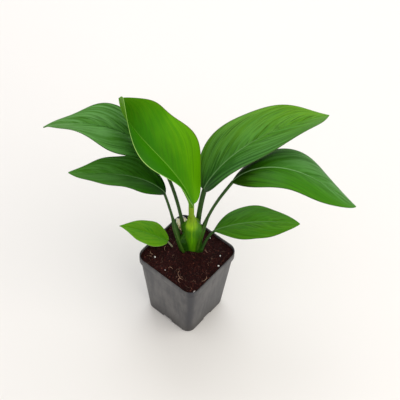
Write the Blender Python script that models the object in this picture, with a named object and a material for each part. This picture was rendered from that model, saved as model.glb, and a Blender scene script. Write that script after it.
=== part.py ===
"""A young potted philodendron: seven leaves from one crown, in soil, in a square nursery pot.

Metres and degrees, +Z up. The origin is the middle of the pot's underside and the pot's sides lie along
X and Y. A heading is a direction of growth about Z, counted from +X towards +Y, and a lean is an angle
above the horizontal. Three values in brackets hold at the foot, the middle and the end of a stalk or a
blade, with a smooth curve between them.
"""

import math

import bpy
import numpy as np

# Edges that turn by more than this stay sharp
SHARP_ANGLE = 38

# Pot, of thin moulded plastic
POT_WIDTH = 0.080
POT_HEIGHT = 0.098
FOOT_WIDTH = 0.064
WALL = 0.0013
FLOOR = 0.0018
COLLAR_HEIGHT = 0.009
COLLAR_STEP = 0.0013
CORNER_TOP = 0.012
CORNER_FOOT = 0.010
EDGE = 0.0005
SLOT_WIDTH = 0.012
SLOT_HEIGHT = 0.004
SLOT_REACH = 0.006
# The wall steps out to the collar outside at the one height and inside at the other
COLLAR_FOOT = POT_HEIGHT - COLLAR_HEIGHT
LEDGE = COLLAR_FOOT + WALL

# Soil, a few millimetres below the rim
SOIL_TOP = 0.0950
SOIL_MOUND = 0.0015
MOUND_WIDTH = 0.018
LUMP = 0.0006
# Crossed waves that make the lumps: radians per metre along X and Y, an offset and a share of LUMP
LUMP_WAVES = ((410, 130, 1.1, 0.6), (-90, 350, 0.4, 0.6), (560, 620, 0.6, 0.5))
SOIL_RINGS = 12

# Gaps between pieces, how deep the stems stand in the soil, and how the soil is cut round them
GAP = 0.00032
HOLE_GAP = 0.00045
SOIL_GAP = 0.0004
STEM_SUNK = 0.0045
HOLE_CLEAR = 0.010
HOLE_RINGS = 4

# Leaf blades
BLADE_THICKNESS = 0.0008
ROW_SPACING = 0.0068
FEWEST_ROWS = 11
COLUMNS = (0.0, 0.07, 0.35, 0.70, 1.0)
TIP_HALF_WIDTH = 0.0004
# Of the stalk's radius: how wide the blade starts, how high it sits, and how thick its midrib is below
BASE_SHARE = 0.8
BASE_RAISED = 0.6
MIDRIB_WIDTH = 1.2
MIDRIB_DEPTH = 1.3
MIDRIB_TAPER = 0.75
# Of the blade's length: where its start has widened and where it has left the stalk's direction
BASE_REACH = 0.02
BEND_REACH = 0.07

# Stalks
STALK_SIDES = 10
STALK_STEP = 0.007
SHEATH_FLARE = 0.004

# Crown, the short stem wrapped in sheaths: its half-widths go up its axis step by step
CROWN_STEP = 0.0065
CROWN_HALF_WIDTHS = (
    0.0070, 0.0078, 0.0088, 0.0094, 0.0097, 0.0096, 0.0091, 0.0082, 0.0066, 0.0045, 0.0031,
)
CROWN_FLATNESS = 0.85
CROWN_HALF_DEPTH = 0.0066
CROWN_SIDES = 20

# Papery sheath, the dried remains of an older leaf's sheath, behind the stalk of the high left leaf
PAPER_START, PAPER_END = 0.026, 0.045
PAPER_WIDTHS = (0.0060, 0.0125, 0.0120)
PAPER_SETBACK = (0.0031, 0.0042, 0.0052)
PAPER_WRAP = 45
PAPER_THICKNESS = 0.0006
PAPER_RAG = 0.0016
RAG_TURNS, RAG_OFFSET = 5.0, 0.8
PAPER_ROWS, PAPER_COLUMNS = 6, 8

# The crown is broadest across this heading, and the papery sheath lies on this side of it
BACK_HEADING = 128

LEAVES = (
    dict(
        name="high_left", root=(-0.0053, 0.0080, 0.0925), stalk=0.1288, clasp=0.0438,
        stalk_lean=(78.5, 77, 58), stalk_heading=(198, 188, 188), foot=0.0027, top=0.0018, sheath=0.0447,
        length=0.1382, width=0.0569, widest=0.37, base_round=0.79, taper=1.30,
        lean=(49, 7, -40), heading=(193, 209, 198), roll=(-4, 4, 13), cup=(16, 15, 22), droop=17,
        wave=0.0047, waves=2.07, phase=325, far_phase=78,
    ),
    dict(
        name="low_left", root=(-0.0073, 0.0023, 0.0925), stalk=0.0970, clasp=0.0467,
        stalk_lean=(75, 79, 74), stalk_heading=(221, 208, 204), foot=0.0036, top=0.0014, sheath=0.0507,
        length=0.1056, width=0.0438, widest=0.41, base_round=0.77, taper=0.96,
        lean=(53, 5, -12), heading=(207, 217, 206), roll=(-8, 3, 0), cup=(15, 24, 16), droop=15,
        wave=0.0012, waves=2.81, phase=19, far_phase=67,
    ),
    dict(
        name="young", root=(-0.0005, 0.0090, 0.0925), stalk=0.0860, clasp=0.0607,
        stalk_lean=(89, 86.5, 88.5), stalk_heading=(268, 268, 268), foot=0.0030, top=0.0024, sheath=0.0547,
        length=0.1362, width=0.0815, widest=0.59, base_round=0.56, taper=0.59,
        lean=(60, 40, 19), heading=(168, 193, 138), roll=(35, 5, 38), cup=(40, 33, 64), droop=0,
        wave=0.0058, waves=1.82, phase=238, far_phase=325,
    ),
    dict(
        name="high_right", root=(0.0005, 0.0135, 0.0925), stalk=0.0915, clasp=0.0497,
        stalk_lean=(89, 83, 72.5), stalk_heading=(94, 100, 88), foot=0.0028, top=0.0023, sheath=0.0447,
        length=0.1696, width=0.0671, widest=0.40, base_round=0.73, taper=1.08,
        lean=(58, 14, -26), heading=(78, 65, 77), roll=(-7, -5, -10), cup=(19, 28, 12), droop=10,
        wave=0.0031, waves=1.82, phase=297, far_phase=29,
    ),
    dict(
        name="low_right", root=(0.0041, 0.0119, 0.0925), stalk=0.1233, clasp=0.0547,
        stalk_lean=(85.5, 76, 58.5), stalk_heading=(48, 37, 57), foot=0.0029, top=0.0016, sheath=0.0537,
        length=0.1505, width=0.0590, widest=0.39, base_round=0.75, taper=0.82,
        lean=(53, -21, -45), heading=(53, 34, 41), roll=(-14, -6, -8), cup=(0, 16, 0), droop=33,
        wave=0.0029, waves=1.65, phase=174, far_phase=55,
    ),
    dict(
        name="small_right", root=(0.0078, 0.0108, 0.0905), stalk=0.0358, clasp=0.0140,
        stalk_lean=(71.5, 58, 42), stalk_heading=(61, 83, 47), foot=0.0020, top=0.0014, sheath=0.0119,
        length=0.0950, width=0.0426, widest=0.42, base_round=0.80, taper=0.85,
        lean=(30, 0, -15), heading=(46, 45, 43), roll=(1, 3, 4), cup=(15, 9, 7), droop=22,
        wave=0.0011, waves=2.39, phase=345, far_phase=74,
    ),
    dict(
        name="small_left", root=(-0.0153, -0.0021, 0.0905), stalk=0.0142, clasp=None,
        stalk_lean=(60, 52, 44.5), stalk_heading=(203, 197, 201), foot=0.0011, top=0.0009, sheath=0.0060,
        length=0.0559, width=0.0321, widest=0.40, base_round=0.56, taper=1.24,
        lean=(18, 11, -8), heading=(208, 204, 213), roll=(-7, 4, -1), cup=(18, 13, 11), droop=17,
        wave=0.0006, waves=2.50, phase=79, far_phase=79,
    ),
)
YOUNG = LEAVES[2]


def clear_scene():
    for old in list(bpy.data.objects):
        bpy.data.objects.remove(old, do_unlink=True)


def plain_material(name, colour, roughness):
    material = bpy.data.materials.new(name)
    material.use_nodes = True
    shader = material.node_tree.nodes["Principled BSDF"]
    shader.inputs["Base Color"].default_value = (*colour, 1.0)
    shader.inputs["Roughness"].default_value = roughness
    material.diffuse_color = (*colour, 1.0)
    return material


def add_object(name, points, faces, material):
    mesh = bpy.data.meshes.new(name)
    mesh.from_pydata([tuple(map(float, p)) for p in points], [], [tuple(map(int, f)) for f in faces])
    mesh.update()
    mesh.materials.append(material)
    mesh.shade_smooth()
    mesh.set_sharp_from_angle(angle=math.radians(SHARP_ANGLE))
    thing = bpy.data.objects.new(name, mesh)
    bpy.context.scene.collection.objects.link(thing)
    return thing


def combine(target, others, operation):
    """Applies a Boolean of the target with each other object, then removes the others."""
    for other in others:
        step = target.modifiers.new(operation.title(), "BOOLEAN")
        step.operation = operation
        step.object = other
        step.solver = "EXACT"
    bpy.context.view_layer.update()
    shape = target.evaluated_get(bpy.context.evaluated_depsgraph_get())
    mesh = bpy.data.meshes.new_from_object(shape)
    target.modifiers.clear()
    target.data = mesh
    for other in others:
        bpy.data.objects.remove(other, do_unlink=True)


def skin_rings(rings):
    """Joins rings of equal count with quads and closes the first and last with a flat cap."""
    count = len(rings[0])
    points = np.concatenate(rings)
    faces = [tuple(reversed(range(count)))]
    for ring in range(len(rings) - 1):
        for side in range(count):
            after = (side + 1) % count
            low, high = ring * count, (ring + 1) * count
            faces.append((low + side, low + after, high + after, high + side))
    faces.append(tuple(range((len(rings) - 1) * count, len(rings) * count)))
    return points, faces


def rounded_square(half, corner, height, steps=6):
    """A square of the given half-width with round corners, counter-clockwise seen from above."""
    turn = np.linspace(0.0, math.pi / 2, steps + 1)
    quarters = []
    for quarter in range(4):
        angle = turn + quarter * math.pi / 2
        middle = math.pi / 4 + quarter * math.pi / 2
        inset = (half - corner) * math.sqrt(2)
        x = inset * math.cos(middle) + corner * np.cos(angle)
        y = inset * math.sin(middle) + corner * np.sin(angle)
        quarters.append(np.stack([x, y, np.full_like(x, height)], axis=-1))
    return np.concatenate(quarters)


def wall_half_width(height):
    wall_top = POT_WIDTH / 2 - COLLAR_STEP
    return FOOT_WIDTH / 2 + (wall_top - FOOT_WIDTH / 2) * min(height / COLLAR_FOOT, 1.0)


def wall_corner(height):
    return CORNER_FOOT + (CORNER_TOP - CORNER_FOOT) * height / POT_HEIGHT


def make_pot(material):
    rim = POT_WIDTH / 2
    collar_inside = rim - WALL
    profile = (
        (0.0, FOOT_WIDTH / 2 - EDGE, 0.0),
        (EDGE, FOOT_WIDTH / 2, 0.0),
        (COLLAR_FOOT - EDGE, wall_half_width(COLLAR_FOOT), 0.0),
        (COLLAR_FOOT, rim - EDGE, 0.0),
        (COLLAR_FOOT + EDGE, rim, 0.0),
        (POT_HEIGHT - EDGE, rim, 0.0),
        (POT_HEIGHT, rim - EDGE, 0.0),
        (POT_HEIGHT, collar_inside + EDGE / 2, WALL),
        (POT_HEIGHT - EDGE, collar_inside, WALL),
        (LEDGE, collar_inside, WALL),
        (LEDGE - EDGE, wall_half_width(LEDGE) - WALL, WALL),
        (FLOOR + EDGE, wall_half_width(FLOOR) - WALL, WALL),
        (FLOOR, wall_half_width(FLOOR) - WALL - EDGE, WALL),
    )
    rings = [rounded_square(half, wall_corner(z) - inset, z) for z, half, inset in profile]
    pot = add_object("pot", *skin_rings(rings), material)
    slots = []
    for side in range(4):
        bpy.ops.mesh.primitive_cube_add(size=1.0)
        slot = bpy.context.active_object
        slot.scale = (2 * SLOT_REACH, SLOT_WIDTH, 2 * SLOT_HEIGHT)
        angle = side * math.pi / 2
        slot.rotation_euler = (0.0, 0.0, angle)
        slot.location = (FOOT_WIDTH / 2 * math.cos(angle), FOOT_WIDTH / 2 * math.sin(angle), 0.0)
        slots.append(slot)
    combine(pot, slots, "DIFFERENCE")


def soil_height(x, y, crown):
    """A low mound round the crown, with shallow lumps."""
    away = (x - crown[0]) ** 2 + (y - crown[1]) ** 2
    mound = SOIL_MOUND * np.exp(-away / MOUND_WIDTH**2)
    lumps = sum(share * np.sin(a * x + b * y + offset) for a, b, offset, share in LUMP_WAVES)
    return SOIL_TOP + mound + LUMP * lumps


def make_soil(material, crown, cutters):
    low = FLOOR + SOIL_GAP
    profile = (
        (low, wall_half_width(low), 2 * SOIL_GAP),
        (low + EDGE, wall_half_width(low), SOIL_GAP),
        (LEDGE - EDGE + SOIL_GAP, wall_half_width(LEDGE), SOIL_GAP),
        (LEDGE + SOIL_GAP, POT_WIDTH / 2, SOIL_GAP),
    )
    rings = []
    for z, outside, gap in profile:
        inset = WALL + gap
        rings.append(rounded_square(outside - inset, wall_corner(z) - inset, z))
    edge = rings[-1]
    for step in range(SOIL_RINGS):
        ring = edge * (1 - step / SOIL_RINGS)
        ring[:, 2] = soil_height(ring[:, 0], ring[:, 1], crown)
        rings.append(ring)
    points, faces = skin_rings(rings)
    middle = np.array([[0.0, 0.0, soil_height(0.0, 0.0, crown)]])
    points = np.concatenate([points, middle])
    last = faces.pop()
    faces += [(a, b, len(points) - 1) for a, b in zip(last, last[1:] + last[:1])]
    soil = add_object("soil", points, faces, material)
    combine(soil, cutters, "DIFFERENCE")


def three_point(values, t):
    """The parabola through the values at t = 0, 1/2 and 1."""
    foot, middle, end = values
    return foot + (4 * middle - 3 * foot - end) * t + (2 * foot + 2 * end - 4 * middle) * t * t


def directions(lean, heading):
    """Unit vectors along, to the left of and above a path with these leans and headings in degrees."""
    lean, heading = np.radians(lean), np.radians(heading)
    along = [np.cos(lean) * np.cos(heading), np.cos(lean) * np.sin(heading), np.sin(lean)]
    along = np.stack(along, axis=-1)
    left = np.stack([-np.sin(heading), np.cos(heading), np.zeros_like(heading)], axis=-1)
    return along, left, np.cross(along, left)


def grow_path(start, length, frames, t, fine=160):
    """Adds up short steps along the directions that frames gives, then reads the path off at each t."""
    steps = np.linspace(0.0, 1.0, fine + 1)
    along, _, _ = frames((steps[1:] + steps[:-1]) / 2)
    walked = np.concatenate([np.zeros((1, 3)), np.cumsum(along, axis=0) * length / fine])
    points = np.stack([np.interp(t, steps, walked[:, axis]) for axis in range(3)], axis=-1)
    return points + np.array(start)


def stalk_frames(leaf, t):
    return directions(three_point(leaf["stalk_lean"], t), three_point(leaf["stalk_heading"], t))


def blade_frames(leaf, t):
    """The blade's own directions, eased over its first few percent from the end of its stalk."""
    stalk_end, _, _ = stalk_frames(leaf, np.array([1.0]))
    base, _, _ = directions(np.array([leaf["lean"][0]]), np.array([leaf["heading"][0]]))
    along, left, _ = directions(three_point(leaf["lean"], t), three_point(leaf["heading"], t))
    ease = np.clip(1 - t / BEND_REACH, 0.0, 1.0) ** 2
    along = along + ease[:, None] * (stalk_end - base)
    along /= np.linalg.norm(along, axis=1, keepdims=True)
    above = np.cross(along, left)
    above /= np.linalg.norm(above, axis=1, keepdims=True)
    return along, np.cross(above, along), above


def stalk_path(leaf, start, stop):
    """Points, directions and radii up a stalk, from start to stop in metres along it."""
    t = np.linspace(start, stop, max(2, round((stop - start) / STALK_STEP)) + 1) / leaf["stalk"]
    inside = np.clip(t, 0.0, 1.0)
    points = grow_path(leaf["root"], leaf["stalk"], lambda t: stalk_frames(leaf, t), inside)
    along, left, above = stalk_frames(leaf, inside)
    points = points + along * ((t - inside) * leaf["stalk"])[:, None]
    flare = 1 / (1 + np.exp((inside * leaf["stalk"] - leaf["sheath"]) / SHEATH_FLARE))
    radii = leaf["top"] + (leaf["foot"] - leaf["top"]) * flare
    return points, left, above, radii


def tube(name, path, material, extra=0.0):
    points, left, above, radii = path
    turn = np.arange(STALK_SIDES) * 2 * math.pi / STALK_SIDES
    rings = []
    for middle, side, up, radius in zip(points, left, above, radii + extra):
        rings.append(middle + radius * (np.outer(np.cos(turn), side) + np.outer(np.sin(turn), up)))
    return add_object(name, *skin_rings(rings), material)


def crown_column(name, leaf, material, extra=0.0, rings_used=None):
    """The sheathed stem: flattened rings up the youngest leaf's stalk, from below the soil."""
    halves = np.array(CROWN_HALF_WIDTHS[:rings_used]) + extra
    reach = np.arange(len(halves)) * CROWN_STEP - STEM_SUNK
    reach[0] -= extra
    t = np.clip(reach / leaf["stalk"], 0.0, 1.0)
    middle = grow_path(leaf["root"], leaf["stalk"], lambda t: stalk_frames(leaf, t), t)
    middle[:, 2] += np.minimum(reach, 0.0)
    turn = np.arange(CROWN_SIDES) * 2 * math.pi / CROWN_SIDES
    across = math.radians(BACK_HEADING - 90)
    wide = np.array([math.cos(across), math.sin(across), 0.0])
    deep = np.array([-math.sin(across), math.cos(across), 0.0])
    depths = np.minimum(CROWN_FLATNESS * halves, CROWN_HALF_DEPTH + extra)
    rings = []
    for point, half, depth in zip(middle, halves, depths):
        rings.append(point + half * np.outer(np.cos(turn), wide) + depth * np.outer(np.sin(turn), deep))
    return add_object(name, *skin_rings(rings), material)


def make_crown(material):
    """The column joined with the clasping foot of every stalk that grows out of it."""
    crown = crown_column("crown", YOUNG, material)
    feet = []
    for leaf in LEAVES:
        if leaf["clasp"] and leaf is not YOUNG:
            path = stalk_path(leaf, -STEM_SUNK, leaf["clasp"])
            feet.append(tube("foot", path, material))
    combine(crown, feet, "UNION")


def stem_cutters(material):
    """What the soil is cut with: the buried length of each stem, a little fatter than the stem."""
    cutters = [crown_column("hole", YOUNG, material, HOLE_GAP, HOLE_RINGS)]
    for leaf in LEAVES:
        if leaf is not YOUNG:
            path = stalk_path(leaf, -STEM_SUNK - HOLE_GAP, HOLE_CLEAR)
            cutters.append(tube("hole", path, material, HOLE_GAP))
    return cutters


def make_stalk(leaf, material):
    start = leaf["clasp"] + GAP if leaf["clasp"] else -STEM_SUNK
    tube("petiole_" + leaf["name"], stalk_path(leaf, start, leaf["stalk"]), material)


def half_width(leaf, t):
    """A quarter sine up to the widest place, a quarter cosine on to the tip, each raised to a power."""
    widest = leaf["widest"]
    base = np.sin(math.pi / 2 * np.clip(t / widest, 0.0, 1.0)) ** leaf["base_round"]
    tip = np.cos(math.pi / 2 * np.clip((t - widest) / (1 - widest), 0.0, 1.0)) ** leaf["taper"]
    return base * tip


def blade_surface(leaf, base, t, across):
    """Upper face of a blade: t runs along the midrib and across from the right edge, -1, to the left.

    The midrib follows the leans and headings. Each half rises from it at the cup angle, less half of
    the droop so far, and its edge waves up and down.
    """
    middle = grow_path(base, leaf["length"], lambda t: blade_frames(leaf, t), t)
    _, left, above = blade_frames(leaf, t)
    roll = np.radians(three_point(leaf["roll"], t))[:, None]
    side = left * np.cos(roll) + above * np.sin(roll)
    up = above * np.cos(roll) - left * np.sin(roll)

    form = half_width(leaf, t)
    base_half = BASE_SHARE * leaf["top"] * np.exp(-t / BASE_REACH)
    half = leaf["width"] / 2 * form + base_half + TIP_HALF_WIDTH * t
    reach = np.abs(across)
    rise = np.radians(three_point(leaf["cup"], t)[:, None] - leaf["droop"] / 2 * reach)
    phase = np.radians(leaf["phase"] + np.where(across < 0, leaf["far_phase"], 0.0))
    turns = 2 * math.pi * leaf["waves"] * t[:, None]
    wave = leaf["wave"] * form[:, None] * np.sin(turns + phase) * reach**2
    out = half[:, None] * across * np.cos(rise)
    height = half[:, None] * reach * np.sin(rise) + wave
    points = middle[:, None] + side[:, None] * out[..., None] + up[:, None] * height[..., None]
    return points, half


def surface_normals(points):
    along = np.gradient(points, axis=0)
    across = np.gradient(points, axis=1)
    normal = np.cross(along, across)
    return normal / np.linalg.norm(normal, axis=-1, keepdims=True)


def make_blade(leaf, material):
    """The upper face and a lower face under it, split into the same triangles, with a midrib keel."""
    stalk, _, _, _ = stalk_path(leaf, leaf["stalk"] / 2, leaf["stalk"])
    along, _, above = blade_frames(leaf, np.array([0.0]))
    base = stalk[-1] + along[0] * GAP + above[0] * BASE_RAISED * leaf["top"]

    rows = max(FEWEST_ROWS, round(leaf["length"] / ROW_SPACING))
    even = np.linspace(0.0, 1.0, rows + 1)
    crowded = (1 - np.cos(math.pi * even)) / 2
    t = (even + crowded) / 2
    right = [-c for c in reversed(COLUMNS[1:])]
    across = np.array(right + list(COLUMNS))
    upper, half = blade_surface(leaf, base, t, across)

    thinning = (1 - MIDRIB_TAPER * t)[:, None]
    place = np.abs(across) * half[:, None] / (MIDRIB_WIDTH * leaf["top"] * thinning)
    keel = MIDRIB_DEPTH * leaf["top"] * thinning * np.sqrt(np.clip(1 - place**2, 0.0, 1.0))
    normal = surface_normals(upper)
    normal[0] -= np.outer(normal[0] @ along[0], along[0])
    normal[0] /= np.linalg.norm(normal[0], axis=-1, keepdims=True)
    lower = upper - normal * (BLADE_THICKNESS + keel)[..., None]

    wide = len(across)
    count = (rows + 1) * wide
    points = np.concatenate([upper.reshape(-1, 3), lower.reshape(-1, 3)])
    faces = []
    for row in range(rows):
        for column in range(wide - 1):
            a = row * wide + column
            b, c, d = a + 1, a + wide + 1, a + wide
            pair = ((a, c, b), (a, d, c)) if across[column] >= 0 else ((a, d, b), (b, d, c))
            faces += pair
            faces += [(count + p, count + r, count + q) for p, q, r in pair]
    rim = list(range(wide))
    rim += [row * wide + wide - 1 for row in range(1, rows + 1)]
    rim += [rows * wide + column for column in range(wide - 2, -1, -1)]
    rim += [row * wide for row in range(rows - 1, 0, -1)]
    for a, b in zip(rim, rim[1:] + rim[:1]):
        faces += [(a, b, count + b), (a, count + b, count + a)]
    add_object("leaf_" + leaf["name"], points, faces, material)


def make_papery_sheath(material):
    """A thin tongue curled round the back of the high left stalk, torn along its upper edge."""
    leaf = LEAVES[0]
    along = np.linspace(0.0, 1.0, PAPER_ROWS + 1)
    reach = PAPER_START + (PAPER_END - PAPER_START) * along
    t = reach / leaf["stalk"]
    middle = grow_path(leaf["root"], leaf["stalk"], lambda t: stalk_frames(leaf, t), t)
    turn = math.radians(BACK_HEADING)
    back = np.array([math.cos(turn), math.sin(turn), 0.0])
    side = np.array([math.sin(turn), -math.cos(turn), 0.0])
    across = np.linspace(-1.0, 1.0, PAPER_COLUMNS + 1)
    angle = np.radians(PAPER_WRAP) * across
    radius = three_point(PAPER_WIDTHS, along)[:, None] / 2 / math.sin(math.radians(PAPER_WRAP))
    out = radius * np.sin(angle)
    behind = three_point(PAPER_SETBACK, along)[:, None] - radius * (1 - np.cos(angle))
    inner = middle[:, None] + back * behind[..., None] + side * out[..., None]
    inner[-1, :, 2] += PAPER_RAG * np.sin(RAG_TURNS * across + RAG_OFFSET)
    outward = back * np.cos(angle)[:, None] + side * np.sin(angle)[:, None]
    outer = inner + PAPER_THICKNESS * outward
    rings = [np.concatenate([near, far[::-1]]) for near, far in zip(inner, outer)]
    add_object("papery_sheath", *skin_rings(rings), material)


def build():
    clear_scene()
    plastic = plain_material("pot_plastic", (0.045, 0.047, 0.050), 0.45)
    peat = plain_material("soil", (0.040, 0.014, 0.010), 0.95)
    green = plain_material("leaf_green", (0.030, 0.170, 0.020), 0.35)
    fresh = plain_material("leaf_young_green", (0.090, 0.300, 0.010), 0.35)
    stalk_green = plain_material("petiole_green", (0.045, 0.120, 0.035), 0.45)
    crown_green = plain_material("crown_green", (0.160, 0.380, 0.020), 0.40)
    paper = plain_material("papery_sheath", (0.560, 0.500, 0.330), 0.80)

    make_pot(plastic)
    make_soil(peat, YOUNG["root"], stem_cutters(peat))
    make_crown(crown_green)
    make_papery_sheath(paper)
    for leaf in LEAVES:
        make_stalk(leaf, crown_green if leaf is YOUNG else stalk_green)
        make_blade(leaf, fresh if leaf is YOUNG else green)


build()
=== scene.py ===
import math

import bpy
import numpy as np
from mathutils import Matrix, Vector


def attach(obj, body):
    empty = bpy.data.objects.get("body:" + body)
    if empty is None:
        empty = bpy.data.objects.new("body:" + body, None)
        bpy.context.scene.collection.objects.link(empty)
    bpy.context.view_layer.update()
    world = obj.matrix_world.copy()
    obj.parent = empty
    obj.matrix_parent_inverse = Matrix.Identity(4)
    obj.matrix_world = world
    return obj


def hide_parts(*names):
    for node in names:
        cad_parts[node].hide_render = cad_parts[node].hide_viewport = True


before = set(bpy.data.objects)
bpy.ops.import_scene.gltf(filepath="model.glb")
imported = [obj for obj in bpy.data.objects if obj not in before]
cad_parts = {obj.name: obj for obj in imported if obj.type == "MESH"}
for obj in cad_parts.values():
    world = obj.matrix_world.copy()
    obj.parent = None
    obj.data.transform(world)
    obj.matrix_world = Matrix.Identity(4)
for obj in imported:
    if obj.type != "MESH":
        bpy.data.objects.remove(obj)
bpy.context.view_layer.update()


# Table top and studio light. A plain pale surface carries the pot. One large soft light stands behind and
# above the plant, where it lays a sheen on the leaves, another to its right, and an even pale surround fills
# the shadows.

# How large the floor is, and how far it lies under the pot's foot, in metres like all lengths here
FLOOR_SIDE, FLOOR_DROP = 6.0, 0.0004
FLOOR_COLOUR, FLOOR_PATCH = (231, 228, 224), (234, 231, 227)
SURROUND_COLOUR, SURROUND_STRENGTH = (249, 248, 248), 0.90
# Square lights that face the plant's middle: name, place, side, power in watts and colour
LIGHTS = (
    ("softbox", (-0.75, 0.95, 1.45), 1.4, 10.0, (244, 248, 255)),
    ("key", (1.1, 0.15, 1.5), 1.6, 12.0, (255, 250, 242)),
)
PLANT_MIDDLE = (0.0, 0.0, 0.12)


def paint(red, green, blue):
    """A colour as it looks on screen, 0 to 255, turned into the linear one that shaders take."""
    shown = np.array([red, green, blue]) / 255
    linear = np.where(shown <= 0.04045, shown / 12.92, ((shown + 0.055) / 1.055) ** 2.4)
    return (*map(float, linear), 1.0)


class Wire:
    """A shader socket: arithmetic on it adds Math nodes, and node() adds a node of any other type."""

    def __init__(self, tree, socket=None):
        self.tree = tree
        self.socket = socket

    def node(self, kind, inputs=None, output=0, **settings):
        """Adds a node, sets its settings first, then gives each input its value or its link."""
        made = self.tree.nodes.new(kind)
        for name, value in settings.items():
            setattr(made, name, value)
        for key, value in (inputs or {}).items():
            if isinstance(value, Wire):
                self.tree.links.new(value.socket, made.inputs[key])
            else:
                made.inputs[key].default_value = value
        return Wire(self.tree, made.outputs[output])

    def math(self, operation, first, second=0.0, clamped=False):
        inputs = {0: first, 1: second}
        return self.node("ShaderNodeMath", inputs, operation=operation, use_clamp=clamped)

    def __add__(self, other):
        return self.math("ADD", self, other)

    def __sub__(self, other):
        return self.math("SUBTRACT", self, other)

    def __rsub__(self, other):
        return self.math("SUBTRACT", other, self)

    def __mul__(self, other):
        return self.math("MULTIPLY", self, other)

    __radd__, __rmul__ = __add__, __mul__

    def clamp(self):
        return self.math("ADD", self, 0.0, clamped=True)

    def ramp(self, low, high):
        """0 below low, 1 above high and a smooth rise between, or the fall where high is the lower."""
        inputs = {0: self, 1: low, 2: high}
        return self.node("ShaderNodeMapRange", inputs, interpolation_type="SMOOTHSTEP")

    def blend(self, first, second):
        """The first colour where this is 0, the second where it is 1. Each is a Wire or red, green, blue."""
        first, second = (given if isinstance(given, Wire) else paint(*given) for given in (first, second))
        return self.node("ShaderNodeMix", {0: self, 6: first, 7: second}, output=2, data_type="RGBA")

    def under(self, *layers):
        """This colour with layers of others over it, each given by its share and its colour."""
        colour = self
        for share, layer in layers:
            colour = share.blend(colour, layer)
        return colour

    def tones(self, *stops):
        """Colours in between those that the stops give, each a value of this and its red, green, blue."""
        tones = self.node("ShaderNodeValToRGB", {0: self})
        elements = tones.socket.node.color_ramp.elements
        while len(elements) < len(stops):
            elements.new(1.0)
        for stop, (value, colour) in zip(elements, stops):
            stop.position, stop.color = value, paint(*colour)
        return tones

    def object_place(self):
        return self.node("ShaderNodeTexCoord", output="Object")

    def noise(self, scale, detail=3.0, rough=0.55, upright=1.0, place=None):
        """Noise over a place, or else over the piece itself, drawn out upwards where upright is below 1."""
        if place is None:
            stretch = {0: self.object_place(), 1: (1.0, 1.0, upright)}
            place = self.node("ShaderNodeVectorMath", stretch, operation="MULTIPLY")
        inputs = {"Vector": place, "Scale": scale, "Detail": detail, "Roughness": rough}
        return self.node("ShaderNodeTexNoise", inputs)

    def mark(self, name):
        """The value that the mesh carries under this name."""
        return self.node("ShaderNodeAttribute", output="Fac", attribute_name=name)

    def bump(self, height, strength, depth):
        return self.node("ShaderNodeBump", {"Height": height, "Strength": strength, "Distance": depth})

    def feed(self, **values):
        """Sets or links the shader's sockets, with _ for the space in a socket's name."""
        sockets = self.tree.nodes["Principled BSDF"].inputs
        for name, value in values.items():
            socket = sockets[name.replace("_", " ")]
            if isinstance(value, Wire):
                self.tree.links.new(value.socket, socket)
            else:
                socket.default_value = value


def new_finish(name):
    """A material with one Principled shader, and a Wire to build what feeds it."""
    finish = bpy.data.materials.new(name)
    finish.use_nodes = True
    return finish, Wire(finish.node_tree)


def add_object(name, data):
    """Makes an object of this data and puts it into the scene."""
    made = bpy.data.objects.new(name, data)
    bpy.context.scene.collection.objects.link(made)
    return made


floor_finish, wire = new_finish("pale_table_top")
floor_tone = wire.noise(3.0).blend(FLOOR_COLOUR, FLOOR_PATCH)
wire.feed(Base_Color=floor_tone, Roughness=0.6)
floor_corners = FLOOR_SIDE / 2 * np.array([(-1, -1, 0), (1, -1, 0), (1, 1, 0), (-1, 1, 0)])
floor_mesh = bpy.data.meshes.new("floor")
floor_mesh.from_pydata(floor_corners - (0.0, 0.0, FLOOR_DROP), [], [(0, 1, 2, 3)])
floor_mesh.materials.append(floor_finish)
floor = add_object("floor", floor_mesh)

world = bpy.data.worlds.new("pale_surround")
world.use_nodes = True
surround = world.node_tree.nodes["Background"].inputs
surround["Color"].default_value = paint(*SURROUND_COLOUR)
surround["Strength"].default_value = SURROUND_STRENGTH
bpy.context.scene.world = world
bpy.context.scene.view_settings.view_transform = "Standard"

for name, place, side, power, colour in LIGHTS:
    lamp = bpy.data.lights.new(name, "AREA")
    lamp.size, lamp.energy, lamp.color = side, power, paint(*colour)[:3]
    light = add_object(name, lamp)
    light.location = place
    towards = Vector(PLANT_MIDDLE) - light.location
    light.rotation_euler = towards.to_track_quat("-Z", "Y").to_euler()


# Camera, at the height and the slight turn that the photograph was taken from.

# Azimuth, elevation and roll in degrees, and the lens and the sensor's width in millimetres
CAMERA_ANGLES = (37.755, 52.144, -2.797)
CAMERA_DISTANCE, CAMERA_TARGET = 0.897125, (0.00869, 0.00673, 0.19177)
CAMERA_LENS, CAMERA_SENSOR = 81.0, 36.0

azimuth, elevation, roll = map(math.radians, CAMERA_ANGLES)
level = math.cos(elevation)
backward = Vector((math.sin(azimuth) * level, -math.cos(azimuth) * level, math.sin(elevation)))
rightward = Vector((math.cos(azimuth), math.sin(azimuth), 0.0))
upward = backward.cross(rightward)
turned = Matrix((rightward * math.cos(roll) - upward * math.sin(roll),
                 rightward * math.sin(roll) + upward * math.cos(roll), backward)).transposed().to_4x4()
turned.translation = Vector(CAMERA_TARGET) + backward * CAMERA_DISTANCE
camera_data = bpy.data.cameras.new("camera")
camera_data.lens, camera_data.sensor_width = CAMERA_LENS, CAMERA_SENSOR
camera = add_object("camera", camera_data)
camera.matrix_world = turned
bpy.context.scene.camera = camera


# Nursery pot, one moulding of dark grey polypropylene: four tapered walls with round corners, a stepped
# collar with a rounded rim, a flat floor, and a drain slot where each wall meets the floor.

# Height, then half the outside width at the rim and at the foot
POT_HEIGHT, POT_RIM, POT_FOOT = 0.098, 0.040, 0.032
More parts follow.
